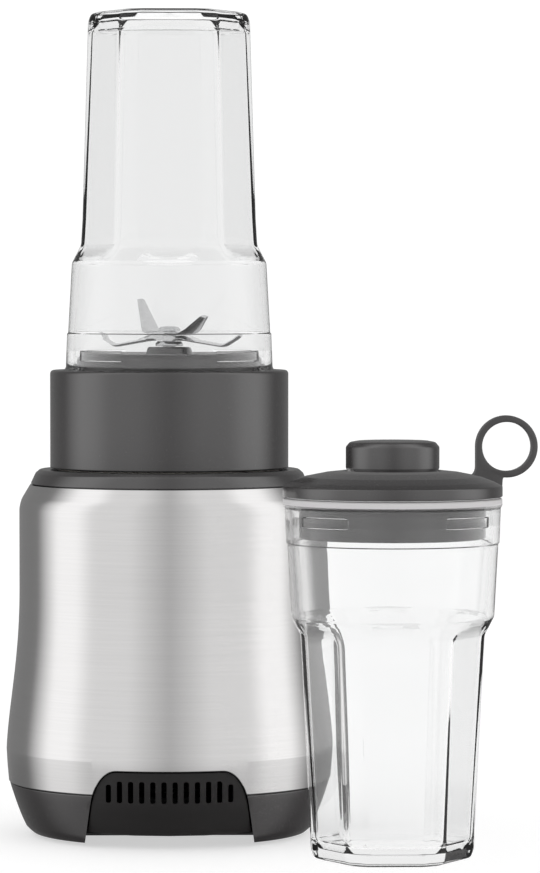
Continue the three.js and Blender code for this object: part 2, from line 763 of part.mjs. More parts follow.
function carryLoop() {
  const centreX = 51;
  const centreZ = 185.5;
  const outerRadius = 13.9;
  const innerRadius = 11;
  const halfDepth = 3.6;
  const shape = new THREE.Shape();
  shape.absarc(centreX, centreZ, outerRadius, -95 * DEGREE, 180 * DEGREE, false);
  shape.lineTo(centreX - outerRadius, 176.5);
  shape.quadraticCurveTo(centreX - outerRadius, 172.6, 33, 171.6);
  shape.lineTo(36, 169.6);
  shape.lineTo(46, 167);
  shape.lineTo(49, 167);
  shape.lineTo(49.3, 171.4);
  shape.closePath();
  const hole = new THREE.Path();
  hole.absarc(centreX, centreZ, innerRadius, 0, 2 * Math.PI, true);
  shape.holes.push(hole);
  return pulledBack(shape, -halfDepth, halfDepth, 14);
}

function lidSeal() {
  return ring(42.3, 48.1, TRAVEL_CUP_LENGTH + 0.3, TRAVEL_CUP_LENGTH + 1.6, RING_STEPS);
}

function drinkCap() {
  const outline = [
    [0, 184.4],
    [15.4, 184.4],
    [15.4, 174.2],
    [20.2, 174.2],
    [21, 176],
    [21, 185.4],
    [19.2, 187.5],
    [16, 188.1],
    [0, 188.5],
  ];
  return turned(outline, CORE_STEPS);
}

function capSeal() {
  return ring(11.8, 14.8, LID_NECK_TOP + GAP, 184, SMALL_STEPS);
}

// ---------- Assembly ----------

function buildCasing() {
  add("steel_housing", steelHousing(), steel);
  add("base_skirt", baseSkirt(), charcoal);
  add("vent_grille", ventGrille(), darkPlastic);
  add("bottom_plate", bottomPlate(), innerPlastic);
  for (let i = 0; i < 4; i += 1) {
    add(`foot_${i + 1}`, foot(FOOT_ANGLES[i]), rubber);
    add(`bottom_screw_${i + 1}`, bottomScrew(SCREW_ANGLES[i]), shaftSteel);
  }
  for (let i = 0; i < DECK_POST_COUNT; i += 1) {
    const degrees = FIRST_POST_DEGREES + (i * 360) / DECK_POST_COUNT;
    add(`rubber_mount_${i + 1}`, rubberMount(degrees), rubber);
  }
  add("cord_inlet", cordInlet(), rubber);
  add("top_deck", topDeck(), charcoal);
}

function buildInterlock() {
  add("interlock_ring", interlockRing(), whiteNylon);
  add("interlock_plunger", interlockPlunger(), whiteNylon);
  add("interlock_switch", interlockSwitch(), innerPlastic);
}

function buildMotor() {
  add("motor_cradle", motorCradle(), innerPlastic);
  add("upper_motor_bracket", upperMotorBracket(), laminations);
  add("lower_bearing", bearing(40), shaftSteel);
  add("upper_bearing", bearing(120), shaftSteel);
  add("motor_stator", motorStator(), laminations);
  add("field_coil_right", fieldCoil(0), copper);
  add("field_coil_left", fieldCoil(180), copper);
  add("motor_shaft", motorShaft(), shaftSteel);
  add("armature", armature(), laminations);
  add("commutator", commutator(), copper);
  for (const [place, side] of [["front", -1], ["back", 1]]) {
    add(`brush_holder_${place}`, brushHolder(side), brass);
    add(`carbon_brush_${place}`, carbonBrush(side), carbon);
    add(`brush_spring_${place}`, brushSpring(side), shaftSteel);
  }
  add("cooling_fan", coolingFan(), innerPlastic);
  add("fan_shroud", fanShroud(), innerPlastic);
  add("control_board", controlBoard(), boardGreen);
  add("drip_slinger", dripSlinger(), rubber);
  add("drive_coupling", driveCoupling(), darkPlastic);
}

function buildCupAssembly() {
  add("blade_collar", bladeCollar(), charcoal);
  add("cup_seal", cupSeal(), clearSeal);
  add("lower_bush", cutterSleeve(204, 212.4), brass);
  add("shaft_seal", cutterSleeve(212.8, 217), rubber);
  add("upper_bush", cutterSleeve(217.4, 228.6), brass);
  add("cutter_shaft", cutterShaft(), shaftSteel);
  add("driven_coupling", drivenCoupling(), darkPlastic);
  add("retaining_clip", retainingClip(), shaftSteel);
  add("blade_spacer", bladeSpacer(), shaftSteel);
  add("lower_blade", lowerBlade(), bladeSteel);
  add("upper_blade", upperBlade(), bladeSteel);
  add("blade_nut", bladeNut(), shaftSteel);
  add("blending_cup", blendingCup(), clearCup);
}

function buildTravelCup() {
  const travel = new THREE.Group();
  travel.position.set(TRAVEL_CUP_X, TRAVEL_CUP_Y, 0);
  addTo(travel, "travel_cup", cup(TRAVEL_CUP_LENGTH, 36.6), clearCup);
  addTo(travel, "lid_seal", lidSeal(), clearSeal);
  addTo(travel, "travel_lid", travelLid(), charcoal);
  addTo(travel, "cap_seal", capSeal(), rubber);
  addTo(travel, "drink_cap", drinkCap(), charcoal);
  blender.add(travel);
}

buildCasing();
buildInterlock();
buildMotor();
buildCupAssembly();
buildTravelCup();

export default blender;
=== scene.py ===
import json
import math
import bpy
import bmesh
from mathutils import Matrix, Vector


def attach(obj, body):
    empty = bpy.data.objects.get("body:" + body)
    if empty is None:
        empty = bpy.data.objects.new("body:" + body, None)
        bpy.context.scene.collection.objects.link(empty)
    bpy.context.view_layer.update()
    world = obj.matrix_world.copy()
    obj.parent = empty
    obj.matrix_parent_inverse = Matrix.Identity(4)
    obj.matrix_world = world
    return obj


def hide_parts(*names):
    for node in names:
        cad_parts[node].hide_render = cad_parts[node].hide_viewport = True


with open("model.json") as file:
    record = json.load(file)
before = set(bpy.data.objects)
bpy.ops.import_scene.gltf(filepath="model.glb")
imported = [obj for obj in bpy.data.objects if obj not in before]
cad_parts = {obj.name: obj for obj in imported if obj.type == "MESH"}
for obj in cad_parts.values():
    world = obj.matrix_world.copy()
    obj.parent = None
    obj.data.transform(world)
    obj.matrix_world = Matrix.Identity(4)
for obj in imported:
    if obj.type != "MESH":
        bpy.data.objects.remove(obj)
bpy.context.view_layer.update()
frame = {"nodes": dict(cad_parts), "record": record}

MM = 0.001
TURN = 2 * math.pi
ROUND = 160  # facets round a large turned piece
FINE = 64  # facets round a small one
PANELS = 6  # flat panels round a cup
THREAD_BARS = 4
VENT_SLOTS = 12
SLOT_PITCH = 5.07
SHAFT_BORE = 3.35
FOOT_ANGLES = (20, 160, 200, 340)
FOOT_CIRCLE = 52
SCREW_CIRCLE = 46
SCREW_STEP = 60  # degrees between the screws of the bottom plate


# ---------- Mesh helpers ----------

def arc_points(before, corner, after, radius):
    """The corner replaced by an arc that touches both edges."""
    to_before = (Vector(before) - Vector(corner))
    to_after = (Vector(after) - Vector(corner))
    half = to_before.angle(to_after) / 2
    if half > math.pi / 2 - 0.02:
        return [tuple(corner)]
    reach = min(radius / math.tan(half), 0.49 * to_before.length, 0.49 * to_after.length)
    radius = reach * math.tan(half)
    start = Vector(corner) + to_before.normalized() * reach
    end = Vector(corner) + to_after.normalized() * reach
    bisector = (to_before.normalized() + to_after.normalized()).normalized()
    centre = Vector(corner) + bisector * (radius / math.sin(half))
    sweep = math.pi - 2 * half
    steps = max(2, round(sweep / math.radians(15)))
    first = start - centre
    turn = math.copysign(sweep, first.x * (end - centre).y - first.y * (end - centre).x)
    points = []
    for i in range(steps + 1):
        angle = turn * i / steps
        cos, sin = math.cos(angle), math.sin(angle)
        points.append((centre.x + first.x * cos - first.y * sin, centre.y + first.x * sin + first.y * cos))
    return points


def rounded(outline, closed=True):
    """An outline whose (x, y, radius) corners become arcs; (x, y) corners stay sharp."""
    count = len(outline)
    points = []
    for i, corner in enumerate(outline):
        if len(corner) == 2 or (not closed and i in (0, count - 1)):
            points.append(tuple(corner[:2]))
            continue
        before = outline[i - 1][:2]
        after = outline[(i + 1) % count][:2]
        points += arc_points(before, corner[:2], after, corner[2])
    return points


def mesh_object(name, vertices, faces, smooth_degrees=35):
    """A piece from vertices in millimetres, its faces pointing out, smooth except at sharp edges."""
    mesh = bpy.data.meshes.new(name)
    mesh.from_pydata([Vector(v) * MM for v in vertices], [], faces)
    made = bmesh.new()
    made.from_mesh(mesh)
    bmesh.ops.remove_doubles(made, verts=made.verts, dist=1e-7)
    bmesh.ops.recalc_face_normals(made, faces=made.faces)
    made.to_mesh(mesh)
    made.free()
    mesh.polygons.foreach_set("use_smooth", [True] * len(mesh.polygons))
    mesh.set_sharp_from_angle(angle=math.radians(smooth_degrees))
    piece = bpy.data.objects.new(name, mesh)
    bpy.context.scene.collection.objects.link(piece)
    return piece


def loft(sections, wrap):
    """Vertices and faces through sections of equal length, each a closed loop; wrap joins last to first."""
    count = len(sections[0])
    vertices = [point for section in sections for point in section]
    faces = []
    for j in range(len(sections) if wrap else len(sections) - 1):
        for i in range(count):
            a = j * count + i
            b = j * count + (i + 1) % count
            shift = ((j + 1) % len(sections)) * count - j * count
            faces.append((a, b, b + shift, a + shift))
    if not wrap:
        faces.append(tuple(range(count)))
        faces.append(tuple((len(sections) - 1) * count + i for i in range(count)))
    return vertices, faces


def joined(*parts):
    """Several (vertices, faces) solids as one."""
    vertices, faces = [], []
    for part_vertices, part_faces in parts:
        offset = len(vertices)
        vertices += part_vertices
        faces += [tuple(i + offset for i in face) for face in part_faces]
    return vertices, faces


def around(radius, angle):
    return radius * math.cos(angle), radius * math.sin(angle)


def turned(outline, steps=ROUND, centre=(0, 0)):
    """An outline turned about the vertical through centre: closed on itself, or from axis to axis."""
    points = rounded(outline, closed=outline[0][0] > 0)
    open_ended = outline[0][0] == 0
    vertices, faces = [], []
    rings = []
    for radius, height in points:
        if radius == 0:
            rings.append([len(vertices)] * steps)
            vertices.append((centre[0], centre[1], height))
            continue
        rings.append([len(vertices) + i for i in range(steps)])
        for i in range(steps):
            x, y = around(radius, TURN * i / steps)
            vertices.append((centre[0] + x, centre[1] + y, height))
    spans = list(zip(rings, rings[1:])) + ([] if open_ended else [(rings[-1], rings[0])])
    for ring, following in spans:
        for i in range(steps):
            k = (i + 1) % steps
            face = (ring[i], ring[k], following[k], following[i])
            faces.append(tuple(dict.fromkeys(face)))
    return vertices, faces


def sector(inner, outer, bottom, top, centre_degrees, width_degrees, steps=10):
    """A piece of a ring."""
    sections = []
    for j in range(steps + 1):
        angle = math.radians(centre_degrees + width_degrees * (j / steps - 0.5))
        loop = [(inner, bottom), (outer, bottom), (outer, top), (inner, top)]
        sections.append([(*around(r, angle), z) for r, z in loop])
    return loft(sections, wrap=False)


def prism(outline, near, far):
    """A front-view outline (x, z) pulled along Y."""
    count = len(outline)
    vertices = [(x, near, z) for x, z in outline] + [(x, far, z) for x, z in outline]
    faces = [tuple(range(count)), tuple(range(2 * count - 1, count - 1, -1))]
    faces += [(i, (i + 1) % count, (i + 1) % count + count, i + count) for i in range(count)]
    return vertices, faces


def apply_modifiers(piece, smooth_degrees=35):
    """Turns the piece's modifiers into mesh."""
    graph = bpy.context.evaluated_depsgraph_get()
    mesh = bpy.data.meshes.new_from_object(piece.evaluated_get(graph))
    piece.modifiers.clear()
    piece.data = mesh
    mesh.polygons.foreach_set("use_smooth", [True] * len(mesh.polygons))
    mesh.set_sharp_from_angle(angle=math.radians(smooth_degrees))
    return piece


def boolean(piece, solid, operation):
    """Joins or cuts the piece with a (vertices, faces) solid."""
    tool = mesh_object("tool", *solid)
    modifier = piece.modifiers.new("boolean", "BOOLEAN")
    modifier.operation = operation
    modifier.solver = "EXACT"
    modifier.object = tool
    apply_modifiers(piece)
    bpy.data.objects.remove(tool)
    return piece


def softened(piece, width, segments=3, degrees=32):
    """Rounds the piece's sharp edges by a bevel of that width in millimetres."""
    bevel = piece.modifiers.new("bevel", "BEVEL")
    bevel.width = width * MM
    bevel.segments = segments
    bevel.limit_method = "ANGLE"
    bevel.angle_limit = math.radians(degrees)
    bevel.harden_normals = False
    return apply_modifiers(piece, 50)


def solid_of(piece):
    """A scratch piece's (vertices, faces) in millimetres; the piece itself is removed."""
    vertices = [tuple(v.co / MM) for v in piece.data.vertices]
    faces = [tuple(face.vertices) for face in piece.data.polygons]
    bpy.data.objects.remove(piece)
    return vertices, faces


# ---------- Materials ----------

NOISE_RANGE = (0.3, 0.7)  # where most of a noise texture's values lie
PALE_RIM_LINE_FROM, PALE_RIM_LINE_TO = 0.1595, 0.164  # height of the travel cup's rim band that is painted matt grey as its pale line (a painted highlight), in metres
# how strongly the painted pale line covers the clear rim
PALE_RIM_LINE_SHARE = 0.8


def new_material(name):
    material = bpy.data.materials.new(name)
    material.use_nodes = True
    tree = material.node_tree
    return material, tree, tree.nodes["Principled BSDF"]


def add_node(tree, kind, **settings):
    node = tree.nodes.new("ShaderNode" + kind)
    for key, value in settings.items():
        if key in node.inputs:
            node.inputs[key].default_value = value
        else:
            setattr(node, key, value)
    return node


def stretched_noise(tree, scale, detail=3.0, roughness=0.5):
    """Noise in the object's own space, scale per metre along each axis."""
    place = add_node(tree, "TexCoord")
    mapping = add_node(tree, "Mapping", Scale=scale)
    noise = add_node(tree, "TexNoise", Scale=1.0, Detail=detail, Roughness=roughness)
    tree.links.new(place.outputs["Object"], mapping.inputs["Vector"])
    tree.links.new(mapping.outputs["Vector"], noise.inputs["Vector"])
    return noise.outputs["Fac"]


def ranged(tree, value, from_range, to_range):
    node = add_node(tree, "MapRange")
    node.inputs["From Min"].default_value, node.inputs["From Max"].default_value = from_range
    node.inputs["To Min"].default_value, node.inputs["To Max"].default_value = to_range
    tree.links.new(value, node.inputs["Value"])
    return node.outputs["Result"]


def tinted(tree, shader, value, dark, light, from_range=NOISE_RANGE):
    """Colour that drifts between two tones with a noise value."""
    mix = add_node(tree, "Mix", data_type="RGBA")
    for socket in mix.inputs:
        if socket.name == "A" and socket.type == "RGBA":
            socket.default_value = (*dark, 1)
        if socket.name == "B" and socket.type == "RGBA":
            socket.default_value = (*light, 1)
    tree.links.new(ranged(tree, value, from_range, (0, 1)), mix.inputs["Factor"])
    result = [socket for socket in mix.outputs if socket.type == "RGBA"][0]
    tree.links.new(result, shader.inputs["Base Color"])


def roughened(tree, shader, value, to_range, from_range=NOISE_RANGE):
    """Roughness that varies with a noise value."""
    tree.links.new(ranged(tree, value, from_range, to_range), shader.inputs["Roughness"])


def bumped(tree, shader, value, strength, distance_mm):
    bump = add_node(tree, "Bump", Strength=strength, Distance=distance_mm * MM)
    tree.links.new(value, bump.inputs["Height"])
    tree.links.new(bump.outputs["Normal"], shader.inputs["Normal"])


def brushed_metal(name, tone, roughness, grain, anisotropy=0.0, contrast=0.05, relief=0.12):
    """Metal with fine grain: grain is the noise scale per metre along x, y and z."""
    material, tree, shader = new_material(name)
    shader.inputs["Metallic"].default_value = 1.0
    fine = stretched_noise(tree, grain, 4)
    broad = stretched_noise(tree, tuple(value / 7 for value in grain), 2)
    dark = tuple(channel * (1 - contrast) for channel in tone)
    light = tuple(channel * (1 + contrast) for channel in tone)
    tinted(tree, shader, fine, dark, light)
    roughened(tree, shader, broad, (roughness * 0.96, roughness * 1.04))
    bumped(tree, shader, fine, relief, 0.02)
    if anisotropy:
        shader.inputs["Anisotropic"].default_value = anisotropy
        shader.inputs["Anisotropic Rotation"].default_value = 0.25
        tangent = add_node(tree, "Tangent", direction_type="RADIAL", axis="Z")
        tree.links.new(tangent.outputs["Tangent"], shader.inputs["Tangent"])
    return material


def moulded_plastic(name, tone, roughness, grain_mm=0.35, relief=0.1, ior=1.5, coat=0.0, drift=0.12):
    """Moulded plastic with a fine spark-eroded grain and a slow drift of tone."""
    material, tree, shader = new_material(name)
    shader.inputs["IOR"].default_value = ior
    shader.inputs["Coat Weight"].default_value = coat
    shader.inputs["Coat Roughness"].default_value = 0.2
    scale = 1 / (grain_mm * MM)
    grain = stretched_noise(tree, (scale, scale, scale), 3, 0.6)
    slow = stretched_noise(tree, (22, 22, 22), 3)
    dark = tuple(channel * (1 - drift) for channel in tone)
    light = tuple(channel * (1 + drift) for channel in tone)
    tinted(tree, shader, slow, dark, light)
    roughened(tree, shader, grain, (roughness * 0.85, roughness * 1.15))
    bumped(tree, shader, grain, relief, 0.05)
    return material


def clear_plastic():
    """Clear polished copolyester, faintly wavy from moulding."""
    material, tree, shader = new_material("clear_cup")
    shader.inputs["Base Color"].default_value = (0.955, 0.957, 0.957, 1)
    shader.inputs["Transmission Weight"].default_value = 1.0
    shader.inputs["IOR"].default_value = 1.45
    wave = stretched_noise(tree, (30, 30, 14), 2)
    roughened(tree, shader, wave, (0.0, 0.03))
    bumped(tree, shader, wave, 0.06, 0.3)
    # A neighbouring shiny piece doesn't mirror the cup; the cup's own inner reflections stay.
    path = add_node(tree, "LightPath")
    outside = add_node(tree, "Math", operation="LESS_THAN")
    outside.inputs[1].default_value = 0.5
    tree.links.new(path.outputs["Transmission Depth"], outside.inputs[0])
    mirrored = add_node(tree, "Math", operation="MULTIPLY")
    tree.links.new(path.outputs["Is Glossy Ray"], mirrored.inputs[0])
    tree.links.new(outside.outputs["Value"], mirrored.inputs[1])
    # Soft light goes straight through the walls, which keeps grain off the matt pieces beside the cup.
    passed = add_node(tree, "Math", operation="MAXIMUM")
    tree.links.new(mirrored.outputs["Value"], passed.inputs[0])
    tree.links.new(path.outputs["Is Diffuse Ray"], passed.inputs[1])
    unseen = add_node(tree, "BsdfTransparent")
    # Painted highlight: the bead that the travel lid clamps is drawn as a matt grey band, which paints the
    # rim's pale line under the lid.
    painted_rim_line = add_node(tree, "BsdfDiffuse")
    painted_rim_line.inputs["Color"].default_value = (0.64, 0.63, 0.635, 1)
    place = add_node(tree, "TexCoord")
    split = add_node(tree, "SeparateXYZ")
    tree.links.new(place.outputs["Object"], split.inputs["Vector"])
    above = ranged(tree, split.outputs["Z"], (PALE_RIM_LINE_FROM, PALE_RIM_LINE_FROM + 0.0005), (0, PALE_RIM_LINE_SHARE))
    below = ranged(tree, split.outputs["Z"], (PALE_RIM_LINE_TO, PALE_RIM_LINE_TO + 0.0001), (1, 0))
    band = add_node(tree, "Math", operation="MULTIPLY")
    tree.links.new(above, band.inputs[0])
    tree.links.new(below, band.inputs[1])
    walls = add_node(tree, "MixShader")
    tree.links.new(band.outputs["Value"], walls.inputs["Fac"])
    tree.links.new(shader.outputs["BSDF"], walls.inputs[1])
    tree.links.new(painted_rim_line.outputs["BSDF"], walls.inputs[2])
    mix = add_node(tree, "MixShader")
    tree.links.new(passed.outputs["Value"], mix.inputs["Fac"])
    tree.links.new(walls.outputs["Shader"], mix.inputs[1])
    tree.links.new(unseen.outputs["BSDF"], mix.inputs[2])
    tree.links.new(mix.outputs["Shader"], tree.nodes["Material Output"].inputs["Surface"])
    return material


def silicone():
    material, tree, shader = new_material("seal")
    shader.inputs["Subsurface Weight"].default_value = 0.3
    shader.inputs["Subsurface Radius"].default_value = (0.002, 0.002, 0.002)
    tinted(tree, shader, stretched_noise(tree, (300, 300, 300)), (0.5, 0.5, 0.5), (0.66, 0.66, 0.66))
    grain = stretched_noise(tree, (1500, 1500, 1500))
    roughened(tree, shader, grain, (0.3, 0.45))
    bumped(tree, shader, grain, 0.05, 0.02)
    return material


def laminated_iron():
    material, tree, shader = new_material("motor_iron")
    shader.inputs["Metallic"].default_value = 0.85
    sheets = stretched_noise(tree, (4, 4, 1800), 1)
    tinted(tree, shader, sheets, (0.12, 0.12, 0.125), (0.34, 0.34, 0.35))
    roughened(tree, shader, sheets, (0.35, 0.6))
    bumped(tree, shader, sheets, 0.4, 0.1)
    return material


def wound_copper():
    material, tree, shader = new_material("copper")
    shader.inputs["Metallic"].default_value = 0.9
    wires = stretched_noise(tree, (1400, 1400, 60), 2)
    tinted(tree, shader, wires, (0.32, 0.11, 0.05), (0.66, 0.30, 0.15))
    roughened(tree, shader, wires, (0.25, 0.45))
    bumped(tree, shader, wires, 0.6, 0.15)
    return material


def circuit_board():
    material, tree, shader = new_material("circuit_board")
    cells = add_node(tree, "TexVoronoi", Scale=260.0)
    place = add_node(tree, "TexCoord")
    tree.links.new(place.outputs["Object"], cells.inputs["Vector"])
    tinted(tree, shader, cells.outputs["Distance"], (0.015, 0.09, 0.035), (0.05, 0.2, 0.09), (0.1, 0.6))
    roughened(tree, shader, cells.outputs["Distance"], (0.3, 0.55), (0, 0.7))
    return material


CHARCOAL = (0.02, 0.0175, 0.018)
AROUND_Z = (22, 22, 1500)  # grain that runs round the axis
ALL_WAYS = (700, 700, 700)
materials = {
    "housing_steel": brushed_metal("housing_steel", (0.64, 0.632, 0.63), 0.17, AROUND_Z, 0.0, 0.02, 0.03),
    "charcoal_plastic": moulded_plastic("charcoal_plastic", CHARCOAL, 0.24, 0.5, 0.02, 1.8, 0.3),
    # The dark plastic's tone is set well below the charcoal's as painted shade, for the vent panel set back
    # in its recess.
    "dark_plastic": moulded_plastic("dark_plastic", (0.009, 0.008, 0.008), 0.45, 0.5, 0.04, 1.4),
    "inner_plastic": moulded_plastic("inner_plastic", (0.012, 0.012, 0.0125), 0.55, 0.5, 0.1),
    "rubber": moulded_plastic("rubber", (0.014, 0.014, 0.015), 0.75, 0.4, 0.2, 1.4),
    "turned_steel": brushed_metal("turned_steel", (0.6, 0.605, 0.61), 0.22, (60, 60, 2600), 0.3),
    "motor_iron": laminated_iron(),
    "copper": wound_copper(),
    "brass": brushed_metal("brass", (0.68, 0.48, 0.2), 0.28, ALL_WAYS),
    "carbon": moulded_plastic("carbon", (0.012, 0.012, 0.012), 0.6, 0.2, 0.3),
    "circuit_board": circuit_board(),
    "nylon": moulded_plastic("nylon", (0.62, 0.6, 0.54), 0.38, 0.4, 0.05),
    "blade_steel": brushed_metal("blade_steel", (0.66, 0.66, 0.665), 0.18, (900, 120, 900)),
    "seal": silicone(),
    "clear_cup": clear_plastic(),
}
slot_of = {part["node"]: part["material_slot"] for part in frame["record"]["subparts"]}
body_of = {node: body for body, nodes in frame["record"]["behaviour"]["bodies"].items() for node in nodes}

for node_name, node_object in frame["nodes"].items():
    node_object.data.materials.clear()
    node_object.data.materials.append(materials[slot_of[node_name]])


def stand_for(piece, node):
    """The piece takes a node's place: its body, slot and material."""
    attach(piece, body_of[node])
    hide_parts(node)
    piece.data.materials.clear()
    piece.data.materials.append(materials[slot_of[node]])
    return piece


def piece_for(node, solid, smooth_degrees=35):
    return stand_for(mesh_object(node + "_visual", *solid, smooth_degrees), node)


# ---------- Motor base ----------

NOTCH = ((36.0, 23.0), (32.4, 36.8), (24.0, 36.8))  # shoulder of the front opening: start, control, end
NOTCH_FOOT = 39.8  # half width of the front opening at z = -5


def notch_point(t, inset=0.0):
    start, control, end = NOTCH
    x = start[0] * (1 - t) ** 2 + 2 * control[0] * t * (1 - t) + end[0] * t * t
    z = start[1] * (1 - t) ** 2 + 2 * control[1] * t * (1 - t) + end[1] * t * t
    return x - inset * (1 - t), z - inset


def notch_half(height):
    """Half width of the front opening at a height."""
    if height <= NOTCH[0][1]:
        return NOTCH_FOOT + (NOTCH[0][0] - NOTCH_FOOT) * (height + 5) / (NOTCH[0][1] + 5)
    below, above = 0.0, 1.0
    for _ in range(30):
        t = (below + above) / 2
        below, above = (t, above) if notch_point(t)[1] < height else (below, t)
    return notch_point(below)[0]


def interpolated(points, height):
    for (r0, z0), (r1, z1) in zip(points, points[1:]):
        if height <= z1:
            return r0 + (r1 - r0) * (height - z0) / max(z1 - z0, 1e-6)
    return points[-1][0]


def housing_profile():
    """Outer side of the steel from its lower edge up to the rolled top."""
    flare = ((76.6, 40.6), (75.6, 62.0), (70.4, 82.0), (70.4, 116.0))
    points = [(75.5, 25.4), (76.15, 33, 25), (76.6, 40.6, 0.5)]
    for i in range(1, 24):
        t = i / 24
        weights = ((1 - t) ** 3, 3 * t * (1 - t) ** 2, 3 * t * t * (1 - t), t ** 3)
        points.append(tuple(sum(w * p[k] for w, p in zip(weights, flare)) for k in (0, 1)))
    points += [(70.4, 116), (70.4, 153.6, 9), (69.4, 157.6, 9), (65.4, 164.3)]
    return rounded(points, closed=False)


def steel_housing():
    profile = housing_profile()
    wall, roll, fixed = 1.2, 0.3, 60.0
    bottom = profile[0][1]
    shares = [(z - bottom) / (fixed - bottom) for r, z in profile if z < fixed]
    upper = [z for r, z in profile if z >= fixed]
    foot_t = next(i / 400 for i in range(400) if notch_point(i / 400)[1] >= bottom)
    columns = []
    for i in range(25):
        x, z = notch_point(foot_t + (1 - foot_t) * i / 24)
        columns.append((math.asin(x / interpolated(profile, z)), max(z, bottom)))
    top_edge = [(columns[-1][0] * (1 - i / 6), NOTCH[2][1]) for i in range(1, 7)]
    right = columns + top_edge
    left = [(-angle, z) for angle, z in reversed(right[:-1])]
    start, end = columns[0][0], TURN - columns[0][0]
    back = [(start + (end - start) * i / 150, bottom) for i in range(1, 150)]
    sections = []
    for angle, edge in right + left + list(reversed(back)):
        heights = [edge + share * (fixed - edge) for share in shares] + upper
        outer = [(interpolated(profile, z), z) for z in heights]
        first = outer[0]
        outer[0] = (first[0], first[1] + roll)
        loop = [(first[0] - roll, first[1])] + outer
        loop += [(r - wall, z) for r, z in reversed(outer)] + [(first[0] - wall + roll / 2, first[1])]
        sections.append([(r * math.sin(angle), -r * math.cos(angle), z) for r, z in loop])
    return loft(sections, wrap=True)


def skirt_radius(height):
    return 65.2 + 10 * max((height - 1.6) / 23.8, 0) ** 0.72


def base_skirt():
    outer = [(64.2, 1.6, 0.5), (65.9, 3)] + [(skirt_radius(z), z) for z in (4.5, 6, 8, 10, 12.5, 15, 18, 21)]
    outer += [(skirt_radius(25), 25, 0.5), (73.6, 25), (73.6, 33), (71.4, 33), (71.4, 22)]
    outer += [(skirt_radius(z) - 2.6, z) for z in (18, 15, 12, 9)] + [(63, 5), (63, 1.6)]
    outline = rounded(outer)
    sections = []
    for j in range(181):
        loop = []
        for radius, height in outline:
            edge = math.asin(notch_half(height) / radius)
            angle = edge + (TURN - 2 * edge) * j / 180
            loop.append((radius * math.sin(angle), -radius * math.cos(angle), height))
        sections.append(loop)
    return loft(sections, wrap=False)


def vent_grille():
    front = [(65.4, 7), (68.6, 11, 8), (71.4, 16, 8), (73, 21, 8), (74.2, 28, 8), (74.6, 37)]
    front = rounded(front, closed=False)
    rows = [(notch_half(z) - 0.8, z) for z in (7, 9, 11, 13, 15, 17, 19, 21)]
    rows += [notch_point(i / 14, 0.8) for i in range(15)]
    sections = []
    for half, height in rows:
        radius = interpolated(front, height)
        across = [half * (2 * i / 60 - 1) for i in range(61)]
        loop = [(x, -math.sqrt(radius ** 2 - x * x), height) for x in across]
        back = radius - 2.4
        loop += [(x, -math.sqrt(back ** 2 - x * x), height) for x in reversed(across)]
        sections.append(loop)
    slots = []
    for i in range(VENT_SLOTS):
        x = (i - (VENT_SLOTS - 1) / 2) * SLOT_PITCH
        top = 30.4 if i in (0, VENT_SLOTS - 1) else 32.0
        outline = rounded([(x - 1.2, 22, 0.9), (x + 1.2, 22, 0.9), (x + 1.2, top, 0.9), (x - 1.2, top, 0.9)])
        slots.append(prism(outline, -90, -50))
    piece = mesh_object("vent_grille_visual", *loft(sections, wrap=False))
    boolean(piece, joined(*slots), "DIFFERENCE")
    return stand_for(piece, "vent_grille")


def post(radius, bottom, top, distance, degrees):
    place = around(distance, math.radians(degrees))
    return turned([(0, bottom), (radius, bottom), (radius, top), (0, top)], 32, place)


def top_deck():
    outline = [
        (8.5, 165.2), (59.4, 165.2), (59.4, 150), (61.6, 150), (61.6, 164.8), (65.1, 164.8, 0.3),
        (62.8, 169.8, 1.6), (60.8, 171.5, 1.2), (53.4, 171.5, 0.9), (53.4, 168, 0.5), (47.2, 168, 0.5),
        (47.2, 184, 1.1), (44.2, 184, 1.1), (44.2, 169, 1.5), (12.5, 169, 0.5), (12.5, 170.2, 0.5),
        (8.5, 170.2, 0.5),
    ]
    piece = mesh_object("top_deck_visual", *turned(outline))
    posts = joined(*(post(4.5, 132.6, 165.4, 38, degrees) for degrees in (30, 150, 270)))
    boolean(piece, posts, "UNION")
    boolean(piece, joined(post(2.6, 160, 172, 50.3, 100), post(2.5, 160, 175, 36, 90)), "DIFFERENCE")
    return stand_for(piece, "top_deck")


def interlock_ring():
    outline = [(47.9, 168.6, 0.3), (52.4, 168.6, 0.3), (52.4, 174, 0.6), (47.9, 174, 0.6)]
    piece = mesh_object("interlock_ring_visual", *turned(outline))
    boolean(piece, joined(*(sector(49.5, 54, 171.7, 176, 45 + 90 * i, 15.4) for i in range(4))), "DIFFERENCE")
    sections = []
    for i in range(15):
        along = 35 * i / 14
        angle = math.radians(100 - along)
        roof = 168.62 + 2 * min(along, 30) / 30
        loop = [(47, 167.6), (53, 167.6), (53, roof), (47, roof)]
        sections.append([(*around(r, angle), z) for r, z in loop])
    boolean(piece, loft(sections, wrap=False), "DIFFERENCE")
    return stand_for(piece, "interlock_ring")


def cord_inlet():
    outline = [(3.6, 58), (9.6, 58, 0.5), (9.6, 61.4, 0.6), (7.8, 61.4)]
    for i in range(4):
        near = 63.2 + 2.8 * i
        outline += [(7.8, near, 0.2), (7.0, near + 0.3, 0.2), (7.0, near + 1.1, 0.2), (7.8, near + 1.4, 0.2)]
    outline += [(7.8, 74.4, 0.5), (6.4, 75.6, 0.8), (3.6, 75.6, 0.6)]
    vertices, faces = turned(outline, FINE)
    return piece_for("cord_inlet", ([(x, z, 15 - y) for x, y, z in vertices], faces))


def foot(number, degrees):
    outline = [
        (0, 0.5), (4.8, 0.5, 0.3), (5.2, 0, 0.2), (6.4, 0, 0.5), (7, 0.6, 0.4), (7, 1.8, 0.3), (4, 1.8),
        (4, 6.4, 0.6), (0, 6.4),
    ]
    place = around(FOOT_CIRCLE, math.radians(degrees))
    return piece_for(f"foot_{number}", turned(outline, FINE, place))


